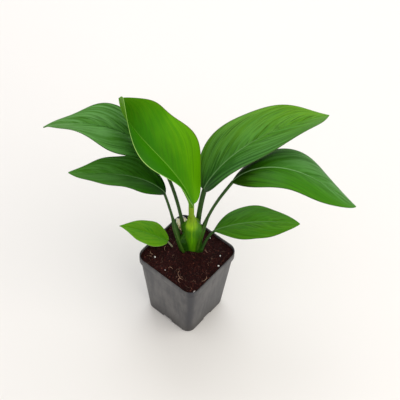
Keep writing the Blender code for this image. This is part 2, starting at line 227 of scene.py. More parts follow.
# Thickness of the walls and of the pot's floor
WALL, FLOOR = 0.0013, 0.0018
COLLAR_HEIGHT, COLLAR_STEP = 0.009, 0.0013
# Radii of the upright corners, and how large the small rounds along the moulding's edges are
CORNER_TOP, CORNER_FOOT = 0.012, 0.010
EDGE = 0.0005
# Drain slots: width, height, and how far in from the wall each reaches
SLOT_WIDTH, SLOT_HEIGHT, SLOT_REACH = 0.012, 0.004, 0.006
CORNER_STEPS, LIP_STEPS = 20, 8
# Neighbouring faces that meet at less than this angle are shaded as one smooth surface
SMOOTH_UP_TO = 40
# The wall steps out to the collar outside at the one height and inside at the other
COLLAR_FOOT = POT_HEIGHT - COLLAR_HEIGHT
LEDGE = COLLAR_FOOT + WALL


def rounded_square(half, corner, height):
    """A ring of points round a square: each corner is a quarter circle about a point on its diagonal, and
    the straight sides run between them."""
    turn = np.linspace(0.0, math.pi / 2, CORNER_STEPS + 1)
    quarters = []
    for quarter in range(4):
        angle = turn + quarter * math.pi / 2
        middle = math.pi / 4 + quarter * math.pi / 2
        inset = (half - corner) * math.sqrt(2)
        x = inset * math.cos(middle) + corner * np.cos(angle)
        y = inset * math.sin(middle) + corner * np.sin(angle)
        quarters.append(np.stack([x, y, np.full_like(x, height)], axis=-1))
    return np.concatenate(quarters)


def wall_half_width(height):
    """Half the outside width of the pot's wall: an even taper from the foot to the collar."""
    wall_top = POT_RIM - COLLAR_STEP
    return POT_FOOT + (wall_top - POT_FOOT) * min(height / COLLAR_FOOT, 1.0)


def wall_corner(height):
    """Outside radius of the upright corners, which grows evenly from the foot to the rim."""
    return CORNER_FOOT + (CORNER_TOP - CORNER_FOOT) * height / POT_HEIGHT


def add_piece(name, points, faces, finish, node, marks=None):
    """Puts points and faces into a mesh with the values that its finish reads, attaches it to the root body
    and hides the nodes of model.glb that it stands for."""
    mesh = bpy.data.meshes.new(name)
    mesh.from_pydata(points.reshape(-1, 3), [], faces)
    for mark, values in (marks or {}).items():
        layer = mesh.attributes.new(mark, "FLOAT", "POINT")
        layer.data.foreach_set("value", np.ascontiguousarray(values, np.float32).ravel())
    mesh.update()
    mesh.shade_smooth()
    mesh.set_sharp_from_angle(angle=math.radians(SMOOTH_UP_TO))
    mesh.materials.append(finish)
    piece = add_object(name, mesh)
    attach(piece, "root")
    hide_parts(*([node] if isinstance(node, str) else node))
    return piece


def ring_faces(rows, count):
    """Quads between neighbouring rings of equal count, and a face that closes each end."""
    row, column = np.meshgrid(np.arange(rows - 1), np.arange(count), indexing="ij")
    after = (column + 1) % count
    low, high = row * count, (row + 1) * count
    quads = np.stack([low + column, low + after, high + after, high + column], axis=-1).reshape(-1, 4)
    ends = [list(range(count - 1, -1, -1)), list(range((rows - 1) * count, rows * count))]
    return quads.tolist() + ends


pot_finish, wire = new_finish("moulded_polypropylene")
clouds = wire.noise(38.0, 4.0)
streaks = wire.noise(170.0, 4.0, 0.65, upright=0.16)
grain = wire.noise(2200.0, 2.0)
specks = wire.noise(520.0, 3.0, 0.7)
axes = {0: wire.object_place()}
across, deep, height = (wire.node("ShaderNodeSeparateXYZ", axes, output=axis) for axis in "XYZ")
across, deep = wire.math("ABSOLUTE", across), wire.math("ABSOLUTE", deep)
# 0 in the middle of each wall and 1 along the upright corners
near_corner = wire.math("DIVIDE", wire.math("MINIMUM", across, deep), wire.math("MAXIMUM", across, deep))
pot_tone = (clouds * 0.5 + streaks * 0.5).ramp(0.38, 0.62).blend((58, 58, 60), (92, 90, 89))
# Painted shade darkens the corners, clouds darken the foot, and old soil lies in specks, more low down
pot_tone = pot_tone.under(
    (near_corner.ramp(0.74, 0.96) * 0.9, (40, 41, 48)),
    ((height.ramp(0.036, 0.0) * clouds * 1.4).clamp(), (50, 48, 47)),
    (specks.ramp(0.60, 0.68) * (0.3 + height.ramp(0.06, 0.02) * 0.5), (42, 40, 40)))
wire.feed(Base_Color=pot_tone, Roughness=0.42 + 0.16 * clouds,
          Normal=wire.bump(grain * 0.5 + streaks, 0.25, 0.0002), Specular_IOR_Level=0.5)

collar_inside = POT_RIM - WALL
lip = WALL / 2
rim_lip = [(POT_HEIGHT - lip + lip * math.sin(turn), POT_RIM - lip + lip * math.cos(turn),
            lip * (1 - math.cos(turn))) for turn in np.linspace(0.0, math.pi, LIP_STEPS + 1)]
# Each ring: height, half the width, and how much smaller the corner's radius is than outside
pot_profile = [
    (0.0, POT_FOOT - 2 * EDGE, 0.0),
    (EDGE * 0.4, POT_FOOT - EDGE, 0.0),
    (EDGE * 1.4, POT_FOOT, 0.0),
    (COLLAR_FOOT - EDGE, wall_half_width(COLLAR_FOOT), 0.0),
    (COLLAR_FOOT - EDGE * 0.2, POT_RIM - EDGE, 0.0),
    (COLLAR_FOOT + EDGE, POT_RIM, 0.0),
    *rim_lip,
    (LEDGE, collar_inside, WALL),
    (LEDGE - EDGE, wall_half_width(LEDGE) - WALL, WALL),
    (FLOOR + 2 * EDGE, wall_half_width(FLOOR) - WALL, WALL),
    (FLOOR, wall_half_width(FLOOR) - WALL - 2 * EDGE, WALL),
]
rings = np.stack([rounded_square(half, wall_corner(z) - inset, z) for z, half, inset in pot_profile])
pot_faces = ring_faces(len(rings), rings.shape[1])
pot = add_piece("nursery_pot", rings, pot_faces, pot_finish, "pot")
for wall in range(4):
    angle = wall * math.pi / 2
    bpy.ops.mesh.primitive_cube_add(size=1.0)
    slot = bpy.context.active_object
    slot.scale = (2 * SLOT_REACH, SLOT_WIDTH, 2 * SLOT_HEIGHT)
    slot.rotation_euler = (0.0, 0.0, angle)
    slot.location = (POT_FOOT * math.cos(angle), POT_FOOT * math.sin(angle), 0.0)
    cut = pot.modifiers.new(f"slot_{wall}", "BOOLEAN")
    cut.operation, cut.object, cut.solver = "DIFFERENCE", slot, "EXACT"
bpy.context.view_layer.update()
finished = bpy.data.meshes.new_from_object(pot.evaluated_get(bpy.context.evaluated_depsgraph_get()))
cutters = [step.object for step in pot.modifiers]
pot.modifiers.clear()
pot.data = finished
pot.data.set_sharp_from_angle(angle=math.radians(SMOOTH_UP_TO))
for cutter in cutters:
    bpy.data.objects.remove(cutter, do_unlink=True)


# Soil, moist coco peat mix that fills the pot to just under the rim, a little higher round the stem. Its
# top is crumbly all over.

# Height of the top, then how much higher the mound round the crown is, and how wide
SOIL_TOP, SOIL_MOUND, MOUND_WIDTH = 0.0950, 0.0015, 0.018
CROWN_PLACE = (-0.0005, 0.0090)
# Low waves over the top: their height, then for each its radians per metre along x and y, offset and share
LUMP = 0.0006
LUMP_WAVES = ((410, 130, 1.1, 0.6), (-90, 350, 0.4, 0.6), (560, 620, 0.6, 0.5))
# Crumbs: size across and height
CRUMB_SIZES = ((0.0042, 0.0007), (0.0019, 0.0007), (0.0009, 0.0004))
# The lattice of random heights has this many points each way, and its corner lies this many cells away
LATTICE, LATTICE_SHIFT = 64, 200.0
# Cells each way over the top, and how far the soil stays clear of the pot
SOIL_CELLS, SOIL_CLEAR = 190, 0.0001

draw = np.random.default_rng(11)
lattice = draw.random((LATTICE, LATTICE))


def crumbs(x, y, size):
    """Random heights from -1/2 to 1/2: those of the four nearest corners of a square lattice, blended by
    the smoothed distance from each."""
    u, v = x / size + LATTICE_SHIFT, y / size + LATTICE_SHIFT
    column, row = np.floor(u).astype(int), np.floor(v).astype(int)
    right, up = u - column, v - row
    right, up = right * right * (3 - 2 * right), up * up * (3 - 2 * up)
    column, after = column % LATTICE, (column + 1) % LATTICE
    row, above = row % LATTICE, (row + 1) % LATTICE
    lower = lattice[row, column] * (1 - right) + lattice[row, after] * right
    upper = lattice[above, column] * (1 - right) + lattice[above, after] * right
    return lower * (1 - up) + upper * up - 0.5


def soil_height(x, y):
    """A low mound round the crown, three crossed waves, and crumbs of three sizes."""
    away = (x - CROWN_PLACE[0]) ** 2 + (y - CROWN_PLACE[1]) ** 2
    mound = SOIL_MOUND * np.exp(-away / MOUND_WIDTH**2)
    waves = sum(share * np.sin(a * x + b * y + offset) for a, b, offset, share in LUMP_WAVES)
    grains = sum(height * crumbs(x, y, size) for size, height in CRUMB_SIZES)
    return SOIL_TOP + mound + LUMP * waves + grains


def soil_square(u, v, half, corner):
    """A square grid from -1 to 1 laid into a square with round corners: within each corner's own square,
    a point moves in as a square is laid into a circle."""
    x, y = u * half, v * half
    a = np.clip((np.abs(x) - half + corner) / corner, 0.0, 1.0)
    b = np.clip((np.abs(y) - half + corner) / corner, 0.0, 1.0)
    inner = half - corner
    round_x = np.sign(x) * (np.minimum(np.abs(x), inner) + corner * a * np.sqrt(1 - b * b / 2))
    round_y = np.sign(y) * (np.minimum(np.abs(y), inner) + corner * b * np.sqrt(1 - a * a / 2))
    return round_x, round_y


soil_finish, wire = new_finish("coco_peat")
bits = wire.noise(900.0, 4.0, 0.65)
flecks = wire.noise(2600.0, 2.0, 0.6)
damp = wire.noise(70.0)
peat_tone = (bits * 0.75 + flecks * 0.25).tones(
    (0.30, (10, 3, 3)), (0.48, (34, 9, 9)), (0.60, (62, 24, 20)), (0.74, (108, 58, 46)))
peat_tone = peat_tone.under((damp.ramp(0.35, 0.75) * 0.7, (22, 6, 6)))
wire.feed(Base_Color=peat_tone, Roughness=0.85,
          Normal=wire.bump(bits + flecks * 0.6, 0.9, 0.0008), Specular_IOR_Level=0.12)

even = np.linspace(-1.0, 1.0, SOIL_CELLS + 1)
u, v = np.meshgrid(even, even)
soil_half = collar_inside - SOIL_CLEAR
x, y = soil_square(u, v, soil_half, wall_corner(SOIL_TOP) - WALL)
soil_top = np.stack([x, y, soil_height(x, y)], axis=-1)
index = np.arange(u.size).reshape(u.shape)
rim_index = np.concatenate([index[0, :-1], index[:-1, -1], index[-1, :0:-1], index[:0:-1, 0]])
rim = soil_top.reshape(-1, 3)[rim_index]
quads = np.stack([index[:-1, :-1], index[:-1, 1:], index[1:, 1:], index[1:, :-1]], axis=-1).reshape(-1, 4)
soil_points, soil_faces = [soil_top.reshape(-1, 3)], quads.tolist()
# Under the top the soil goes down inside the wall in three rings, and a flat underside closes it
for z, half in ((LEDGE, soil_half), (LEDGE - EDGE, wall_half_width(LEDGE) - WALL - SOIL_CLEAR),
                (FLOOR, wall_half_width(FLOOR) - WALL - SOIL_CLEAR)):
    share = half / soil_half
    lower = sum(map(len, soil_points)) + np.arange(len(rim))
    soil_points.append(rim * (share, share, 0.0) + (0.0, 0.0, z + SOIL_CLEAR))
    walls = np.stack([rim_index, lower, np.roll(lower, -1), np.roll(rim_index, -1)], axis=-1)
    soil_faces += walls.tolist()
    rim_index = lower
soil_faces.append(rim_index[::-1].tolist())
add_piece("peat_soil", np.concatenate(soil_points), soil_faces, soil_finish, "soil")


# Loose bits on the soil: crumbs of peat, coco fibres that curl over the top, and white perlite grains.

# Crumbs: how many, how far they keep from the wall, from what to what half size, and the spread of that
CRUMB_COUNT, CRUMB_MARGIN, CRUMB_HALF, CRUMB_SPREAD = 1500, 0.0012, (0.00025, 0.00085), (0.7, 1.3)
# Lumps of all kinds are stretched by between these factors
LUMP_STRETCH = (0.6, 1.3)
# Fibres: how many, and how far they start and stay from the wall. From what to what length, curl in degrees
# and half thickness, then how level they lie on uneven soil, and their arch as a share of the length
FIBRE_COUNT, FIBRE_START_MARGIN, FIBRE_MARGIN = 150, 0.003, 0.0015
FIBRE_LENGTH, FIBRE_CURL, FIBRE_THICK = (0.002, 0.008), (-220.0, 220.0), (0.00006, 0.00014)
FIBRE_LEVEL, FIBRE_ARCH = 0.7, 0.10
# A fibre's ends have this share of its thickness. Most short fibres are dark, by this power, and the palest
# is this pale
FIBRE_END, PALE_POWER, PALE_MOST = 0.35, 4, 0.6
FIBRE_STEPS, FIBRE_SIDES = 14, 5
# The longer pale fibres: half thickness, then for each its start, heading in degrees, length and curl
PALE_THICK = 0.00016
PALE_FIBRES = (
    (0.0076, -0.0207, 325, 0.014, 110), (0.0318, -0.0081, 285, 0.011, -150),
    (-0.0330, -0.0225, 340, 0.006, 100), (0.0180, -0.0320, 120, 0.008, -190),
    (0.0103, 0.0169, 350, 0.005, 40), (-0.0310, -0.0280, 30, 0.005, 90),
    (-0.0246, -0.0060, 300, 0.007, 60), (0.0010, -0.0250, 200, 0.006, 120),
)
# Perlite grains: place on the soil, and half the size
PERLITE = (
    (-0.0236, -0.0258, 0.0016), (0.0280, 0.0224, 0.0009), (0.0352, 0.0106, 0.0009),
    (-0.0044, -0.0312, 0.0007), (0.0362, -0.0309, 0.0013), (-0.0310, 0.0180, 0.0011),
    (0.0050, 0.0330, 0.0010), (-0.0280, 0.0020, 0.0006),
)
GOLD = (1 + math.sqrt(5)) / 2
LUMP_CORNERS = np.array([np.roll((0, one, GOLD * other), -axis) for axis in range(3)
                         for other in (1, -1) for one in (1, -1)]) / math.hypot(1, GOLD)
LUMP_FACES = np.array([
    (0, 1, 8), (0, 8, 4), (0, 4, 5), (0, 5, 10), (0, 10, 1), (3, 2, 9), (3, 9, 6), (3, 6, 7), (3, 7, 11),
    (3, 11, 2), (1, 6, 8), (8, 9, 4), (4, 2, 5), (5, 11, 10), (10, 7, 1), (6, 1, 7), (9, 8, 6), (2, 4, 9),
    (11, 5, 2), (7, 10, 11)])


def loose_lumps(x, y, size, flat, ragged):
    """Twenty-sided lumps, each stretched at random, its corners moved in or out by up to the ragged share,
    turned about the vertical, and set half into the soil's top."""
    many, each = len(x), len(LUMP_CORNERS)
    stretch = draw.uniform(*LUMP_STRETCH, (many, 1, 3)) * (1.0, 1.0, flat)
    corners = LUMP_CORNERS * draw.uniform(1 - ragged, 1 + ragged, (many, each, 1)) * stretch
    turned = draw.uniform(0.0, 2 * math.pi, (many, 1))
    cos, sin = np.cos(turned), np.sin(turned)
    shape = np.stack([corners[..., 0] * cos - corners[..., 1] * sin,
                      corners[..., 0] * sin + corners[..., 1] * cos, corners[..., 2]], axis=-1)
    middle = np.stack([x, y, soil_height(x, y)], axis=-1)[:, None]
    points = middle + shape * size[:, None, None]
    faces = (LUMP_FACES + each * np.arange(many)[:, None, None]).reshape(-1, 3)
    return points, faces.tolist()


def loose_fibres(start, heading, length, curl, thick):
    """Thin round fibres: the heading turns evenly by the curl along each, it rises in a low arch that
    touches the soil at both ends, and it thins towards them as a sine."""
    t = np.linspace(0.0, 1.0, FIBRE_STEPS)
    angle = np.radians(heading[:, None] + curl[:, None] * (t - 0.5))
    step = length[:, None] / (FIBRE_STEPS - 1)
    x = start[:, :1] + np.cumsum(np.cos(angle) * step, axis=1)
    y = start[:, 1:] + np.cumsum(np.sin(angle) * step, axis=1)
    inside = soil_half - FIBRE_MARGIN
    x, y = np.clip(x, -inside, inside), np.clip(y, -inside, inside)
    level = FIBRE_LEVEL * soil_height(x.mean(axis=1), y.mean(axis=1))[:, None]
    z = soil_height(x, y) * (1 - FIBRE_LEVEL) + level
    z = z + thick[:, None] + FIBRE_ARCH * length[:, None] * np.sin(math.pi * t) ** 2
    turn = np.arange(FIBRE_SIDES) * 2 * math.pi / FIBRE_SIDES
    thin = thick[:, None] * (FIBRE_END + (1 - FIBRE_END) * np.sin(math.pi * (0.08 + 0.84 * t)))
    side = np.stack([-np.sin(angle), np.cos(angle), np.zeros_like(angle)], axis=-1)
    points = np.stack([x, y, z], axis=-1)[:, :, None] + thin[..., None, None] * (
        side[:, :, None] * np.cos(turn)[:, None] + np.array([0.0, 0.0, 1.0]) * np.sin(turn)[:, None])
    faces = []
    one = ring_faces(FIBRE_STEPS, FIBRE_SIDES)
    for fibre in range(len(start)):
        offset = fibre * FIBRE_STEPS * FIBRE_SIDES
        faces += [[corner + offset for corner in face] for face in one]
    return points, faces


def scattered(many, margin):
    """Places drawn evenly over the soil's top, this far in from the wall."""
    u, v = draw.uniform(-1.0, 1.0, (2, many))
    return soil_square(u, v, soil_half - margin, wall_corner(SOIL_TOP))


crumb_finish, wire = new_finish("peat_crumb")
crumb_tone = wire.noise(420.0, 1.0).tones(
    (0.30, (12, 4, 4)), (0.50, (44, 15, 13)), (0.66, (88, 44, 36)), (0.78, (136, 92, 76)))
wire.feed(Base_Color=crumb_tone, Roughness=0.9, Specular_IOR_Level=0.12,
          Normal=wire.bump(wire.noise(2500.0), 0.6, 0.0004))

x, y = scattered(CRUMB_COUNT, CRUMB_MARGIN)
size = draw.uniform(*CRUMB_HALF, CRUMB_COUNT) * draw.uniform(*CRUMB_SPREAD, CRUMB_COUNT)
points, faces = loose_lumps(x, y, size, flat=0.7, ragged=0.3)
add_piece("peat_crumbs", points, faces, crumb_finish, "soil")

fibre_finish, wire = new_finish("coco_fibre")
fibre_tone = wire.mark("pale").blend((56, 28, 22), (194, 152, 126))
wire.feed(Base_Color=fibre_tone, Roughness=0.75)

x, y = scattered(FIBRE_COUNT, FIBRE_START_MARGIN)
pale = np.array(PALE_FIBRES)
start = np.concatenate([np.stack([x, y], axis=-1), pale[:, :2]])
heading = np.concatenate([draw.uniform(0.0, 360.0, FIBRE_COUNT), pale[:, 2]])
length = np.concatenate([draw.uniform(*FIBRE_LENGTH, FIBRE_COUNT), pale[:, 3]])
curl = np.concatenate([draw.uniform(*FIBRE_CURL, FIBRE_COUNT), pale[:, 4]])
thick = np.concatenate([draw.uniform(*FIBRE_THICK, FIBRE_COUNT), np.full(len(pale), PALE_THICK)])
points, faces = loose_fibres(start, heading, length, curl, thick)
paleness = np.concatenate([draw.random(FIBRE_COUNT) ** PALE_POWER * PALE_MOST, np.ones(len(pale))])
paleness = np.repeat(paleness, FIBRE_STEPS * FIBRE_SIDES)
add_piece("coco_fibres", points, faces, fibre_finish, "soil", {"pale": paleness})

perlite_finish, wire = new_finish("perlite")
pores = wire.noise(1800.0)
wire.feed(Base_Color=pores.blend((232, 230, 224), (254, 254, 252)), Roughness=0.7,
          Normal=wire.bump(pores, 0.5, 0.0003))
points, faces = loose_lumps(*np.array(PERLITE).T, flat=0.85, ragged=0.15)
add_piece("perlite_grains", points, faces, perlite_finish, "soil")


# Leaf stalks, round and smooth with a shallow channel along the upper side. The foot of each is a sheath
# with two thin edges that clasps the stem. It is pale there and darkens to grey green above.

# Root is where the stalk starts, in the soil. Lean and heading, in degrees, hold at the foot, the middle and
# the end. Foot and top are radii, sheath is how far up the sheath goes, clasp widens it at the soil, and
# broad widens the whole stalk. Dark is how grey green the stalk is above the crown, lime how yellow green it
# is at the foot, and dry how far it has dried out.
STALKS = {
    "high_left": dict(
        root=(-0.0053, 0.0080, 0.0925), length=0.1288, lean=(78.5, 77, 58), heading=(198, 188, 188),
        foot=0.0027, top=0.0018, sheath=0.0447, clasp=1.4, broad=1.0, dark=0.95, lime=0.35, dry=0.0),
    "low_left": dict(
        root=(-0.0073, 0.0023, 0.0925), length=0.0970, lean=(75, 79, 74), heading=(221, 208, 204),
        foot=0.0036, top=0.0014, sheath=0.0507, clasp=1.5, broad=1.0, dark=0.9, lime=0.06, dry=0.0),
    "young": dict(
        root=(-0.0005, 0.0090, 0.0925), length=0.0860, lean=(89, 86.5, 88.5), heading=(268, 268, 268),
        foot=0.0030, top=0.0024, sheath=0.0547, clasp=1.0, broad=1.35, dark=0.0, lime=0.9, dry=0.0),
    "high_right": dict(
        root=(0.0005, 0.0135, 0.0925), length=0.0915, lean=(89, 83, 72.5), heading=(94, 100, 88),
        foot=0.0028, top=0.0023, sheath=0.0447, clasp=1.4, broad=1.2, dark=0.9, lime=0.5, dry=0.0),
    # The low right stalk's lime is kept low as painted shade, for its foot lies in shadow
    "low_right": dict(
        root=(0.0041, 0.0119, 0.0925), length=0.1233, lean=(85.5, 76, 58.5), heading=(48, 37, 57),
        foot=0.0029, top=0.0016, sheath=0.0537, clasp=1.4, broad=1.05, dark=1.0, lime=0.10, dry=0.0),
    "small_right": dict(
        root=(0.0078, 0.0108, 0.0905), length=0.0358, lean=(71.5, 58, 42), heading=(61, 83, 47),
        foot=0.0020, top=0.0014, sheath=0.0119, clasp=1.3, broad=1.0, dark=0.95, lime=0.0, dry=0.0),
    "small_left": dict(
        root=(-0.0153, -0.0021, 0.0905), length=0.0142, lean=(60, 52, 44.5), heading=(203, 197, 201),
        foot=0.0011, top=0.0009, sheath=0.0060, clasp=1.0, broad=1.0, dark=0.25, lime=0.5, dry=0.85),
}
# How far up each older stalk's sheath stays joined to the crown
JOINED = {"high_left": 0.040, "low_left": 0.020, "high_right": 0.049, "low_right": 0.041,
          "small_right": 0.006}
# Each stalk starts this far below its root, and runs this far into its blade
STEM_SUNK, BLADE_OVERLAP = 0.0045, 0.0004
# The length over which a sheath narrows into its stalk
SHEATH_FLARE = 0.004
STALK_ROW, STALK_SIDES = 0.0012, 28
# Depth of the channel as a share of the radius, its width in degrees, and the share that runs on above
CHANNEL, CHANNEL_WIDTH, CHANNEL_ABOVE = 0.22, 34, 0.4
# The sheath's edges: degrees from the middle of the upper side, width, how pale, and the share of that at
# the soil, from where it grows over this length
EDGE_PLACE, EDGE_WIDTH, EDGE_PALENESS, EDGE_AT_SOIL, EDGE_RISE = 74, 7, 0.22, 0.15, 0.02
# A sheath curls round this radius, is thinner at the soil by this share, and narrows upwards by this power
HUG_RADIUS, SHEATH_THINNING, SHEATH_POWER = 0.0095, 0.30, 0.8
# The green darkens this far above where the sheath parts from the crown, over this length
DARKENS_ABOVE, DARKENING = 0.004, 0.005


def three_point(values, t):
    """The parabola through the values at t = 0, 1/2 and 1."""
    foot, middle, end = values
    return foot + (4 * middle - 3 * foot - end) * t + (2 * foot + 2 * end - 4 * middle) * t * t


def directions(lean, heading):
    """Unit vectors along, to the left of and above a path that leans this far up from the horizontal, on
    this heading about the vertical."""
    lean, heading = np.radians(lean), np.radians(heading)
    along = [np.cos(lean) * np.cos(heading), np.cos(lean) * np.sin(heading), np.sin(lean)]
    along = np.stack(along, axis=-1)
    left = np.stack([-np.sin(heading), np.cos(heading), np.zeros_like(heading)], axis=-1)
    return along, left, np.cross(along, left)


def grow_path(start, length, frames, t, steps=400):
    """Adds up short steps along the directions that frames gives, then reads the path off at each t."""
    ends = np.linspace(0.0, 1.0, steps + 1)
    along, _, _ = frames((ends[1:] + ends[:-1]) / 2)
    walked = np.concatenate([np.zeros((1, 3)), np.cumsum(along, axis=0) * length / steps])
    points = np.stack([np.interp(t, ends, walked[:, axis]) for axis in range(3)], axis=-1)
    return points + np.array(start)


def stalk_frames(stalk, t):
    """Directions along, to the left of and above a stalk, from 0 at its root to 1 at its end."""
    return directions(three_point(stalk["lean"], t), three_point(stalk["heading"], t))


def fading(values, middle, breadth):
    """A smooth step from 1 down to 0 about the middle: one over one plus the exponential of the distance
    past it, in breadths."""
    return 1 / (1 + np.exp((values - middle) / breadth))


def stalk_path(stalk, reach):
    """Points, side and upper directions and radii at each reach up a stalk, which goes straight on beyond
    its ends. The radius falls from that of the foot to that of the top where the sheath ends."""
    t = reach / stalk["length"]
    inside = np.clip(t, 0.0, 1.0)
    points = grow_path(stalk["root"], stalk["length"], lambda t: stalk_frames(stalk, t), inside)
    along, left, above = stalk_frames(stalk, inside)
    points = points + along * ((t - inside) * stalk["length"])[:, None]
    flare = fading(inside * stalk["length"], stalk["sheath"], SHEATH_FLARE)
    return points, left, above, stalk["top"] + (stalk["foot"] - stalk["top"]) * flare


def bell(angle, middle, width):
    """1 at the middle, falling off on both sides as a bell curve, for angles in degrees."""
    away = (angle - middle + 180) % 360 - 180
    return np.exp(-((away / width) ** 2))


stalk_finish, wire = new_finish("stalk_skin")
lengthwise = wire.noise(1500.0, 2.0, upright=0.12)
stalk_tone = wire.mark("dark").blend((36, 78, 10), (42, 74, 28)).under(
    (wire.mark("lime"), (124, 158, 12)), (lengthwise.ramp(0.45, 0.75) * 0.25, (104, 138, 62)),
    (wire.mark("edge"), (132, 158, 78)), (wire.mark("dry"), (146, 142, 116)))
wire.feed(Base_Color=stalk_tone, Roughness=0.42 + 0.12 * lengthwise,
          Normal=wire.bump(lengthwise, 0.25, 0.0002), Specular_IOR_Level=0.18)

for name, stalk in STALKS.items():
    is_young = name == "young"
    rows = round((stalk["length"] + STEM_SUNK) / STALK_ROW)
    reach = np.linspace(-STEM_SUNK, stalk["length"] + BLADE_OVERLAP, rows + 1)
    middle, left, above, radius = stalk_path(stalk, reach)
    angle = np.arange(STALK_SIDES) * 360 / STALK_SIDES
    reach, radius, turn = reach[:, None], radius[:, None], np.radians(angle)
    sheathed = fading(reach, stalk["sheath"], SHEATH_FLARE)
    # 1 at the soil and 0 from the top of the sheath on
    downwards = np.clip(1 - reach / stalk["sheath"], 0.0, 1.0)
    clasping = downwards**SHEATH_POWER
    channel = CHANNEL * bell(angle, 90, CHANNEL_WIDTH) * (CHANNEL_ABOVE + (1 - CHANNEL_ABOVE) * sheathed)
    out = radius * stalk["broad"] * (1 + (stalk["clasp"] - 1) * clasping) * np.cos(turn)
    rise = radius * (1 - channel) * (1 - SHEATH_THINNING * clasping) * np.sin(turn)
    rise = rise + out**2 / (2 * HUG_RADIUS) * clasping
    rings = middle[:, None] + left[:, None] * out[..., None] + above[:, None] * rise[..., None]
    edges = bell(angle, 90 - EDGE_PLACE, EDGE_WIDTH) + bell(angle, 90 + EDGE_PLACE, EDGE_WIDTH)
    marks = {
        "dark": stalk["dark"] * (1 - fading(reach, JOINED.get(name, 0.0) + DARKENS_ABOVE, DARKENING)),
        "edge": EDGE_PALENESS * edges * sheathed * np.clip(reach / EDGE_RISE, EDGE_AT_SOIL, 1.0),
        "lime": stalk["lime"] * (1.0 if is_young else np.sqrt(downwards)),
        "dry": stalk["dry"],
    }
    marks = {mark: values * np.ones_like(out) for mark, values in marks.items()}
    add_piece("stalk_" + name, rings, ring_faces(len(rings), STALK_SIDES), stalk_finish,
              "petiole_" + name, marks)


# Crown, the short stem inside the folded sheath of the youngest leaf, bright lime green, with the darker
# sheaths of the older stalks grown round it: one cone that widens upwards and parts into the stalks.

# How far up the youngest stalk, and half the width of the lime green middle there
CROWN_PROFILE = (
    (-0.0045, 0.0050), (0.0020, 0.0052), (0.0100, 0.0058), (0.0190, 0.0066), (0.0280, 0.0073),
    (0.0350, 0.0074), (0.0400, 0.0071), (0.0455, 0.0067), (0.0505, 0.0060), (0.0550, 0.0050),
    (0.0600, 0.0041), (0.0650, 0.0036),
)
# Depth from front to back as a share of the width, the heading of the crown's back in degrees, and how many
# rows the changes of width are smoothed over
CROWN_DEPTH, BACK_HEADING, CROWN_SMOOTHING = 0.80, 128, 15
CROWN_ROWS, CROWN_SIDES = 120, 120
# How fast an older sheath draws in above where it stays joined, how softly it joins its neighbours, how far
# it lies over its stalk, and at how many places its stalk is measured
DRAW_IN, SOFT_JOIN, SHEATH_OVER, SHEATH_PLACES = 0.95, 0.0020, 0.0001, 90
# The painted highlight down the youngest sheath: its middle in degrees round the crown at the soil, how far
# that turns on the way up, half its width at the soil and at the top, and how much painted shade darkens
# the rest at both
LIT_SIDE, LIT_TURN, LIT_FOOT, LIT_TOP = 281, -26, 0.0040, 0.0084
SHADE_FOOT, SHADE_TOP = 0.85, 0.70
# Folds: place round the crown in degrees, how far it turns on the way up, rise as a share of the width, and
# breadth in degrees
CROWN_FOLDS = ((240, 24, -0.02, 6), (266, 4, 0.03, 20), (306, -20, -0.02, 6))


def sheath_reach(name, heights, centres, aim, joined):
    """How far a joined sheath reaches from the crown's middle towards each aim, at each height: to the far
    side of the stalk's own circle, less where the aim passes beside it or it has parted from the crown."""
    stalk = STALKS[name]
    path, _, _, radius = stalk_path(stalk, np.linspace(-STEM_SUNK, stalk["length"] / 2, SHEATH_PLACES))
    away = np.stack([np.interp(heights, path[:, 2], path[:, axis]) for axis in (0, 1)], axis=-1) - centres
    wide = (np.interp(heights, path[:, 2], radius) + SHEATH_OVER)[:, None]
    onward = away @ aim.T
    aside = np.abs(away[:, :1] * aim[:, 1] - away[:, 1:] * aim[:, 0])
    chord = np.sqrt(np.clip(wide**2 - aside**2, 0.0, None))
    parted = np.clip(heights - heights[0] - STEM_SUNK - joined, 0.0, None)[:, None]
    return onward + chord - np.clip(aside - wide, 0.0, None) - DRAW_IN * parted


crown_finish, wire = new_finish("crown_skin")
fine_lines = wire.noise(1200.0, 2.0, upright=0.10)
fibrous = wire.noise(520.0, 3.0, 0.6, upright=0.06)
older_and_shade, up, crease_shade = wire.mark("older_and_shade"), wire.mark("up"), wire.mark("crease_shade")
# The lit lime green darkens upwards, painted shade against the light that the upturned top catches. The dark
# green is both the older sheaths' own and the painted shade on the flanks, darkest low down
bright_tone = up.ramp(0.42, 0.60).blend((88, 158, 2), (64, 126, 2))
older_and_shade_tone = up.ramp(0.35, 0.70).blend((20, 62, 0), (54, 110, 8))
# Yellow green near the top, partly its own and kept to the painted lit side, with dark streaks lengthwise
# and light ones on the lit side, painted shade in the creases and a painted shadow at the soil
crown_tone = older_and_shade.blend(bright_tone, older_and_shade_tone).under(
    (up.ramp(0.66, 0.80) * (1.0 - older_and_shade * 0.9), (142, 192, 12)),
    (up.ramp(0.78, 0.95), (120, 156, 12)),
    (fibrous.ramp(0.50, 0.64) * 0.38, (46, 96, 2)),
    (fibrous.ramp(0.47, 0.36) * (1.0 - older_and_shade) * 0.25, (158, 200, 30)),
    (fine_lines.ramp(0.5, 0.8) * 0.2, (130, 180, 30)),
    (crease_shade.ramp(0.0, 0.06) * 0.35, (44, 90, 4)),
    (up.ramp(0.20, 0.07) * 0.6, (30, 52, 8)))
wire.feed(Base_Color=crown_tone, Roughness=0.40 + 0.12 * fine_lines,
          Normal=wire.bump(fine_lines, 0.3, 0.0002), Specular_IOR_Level=0.18)

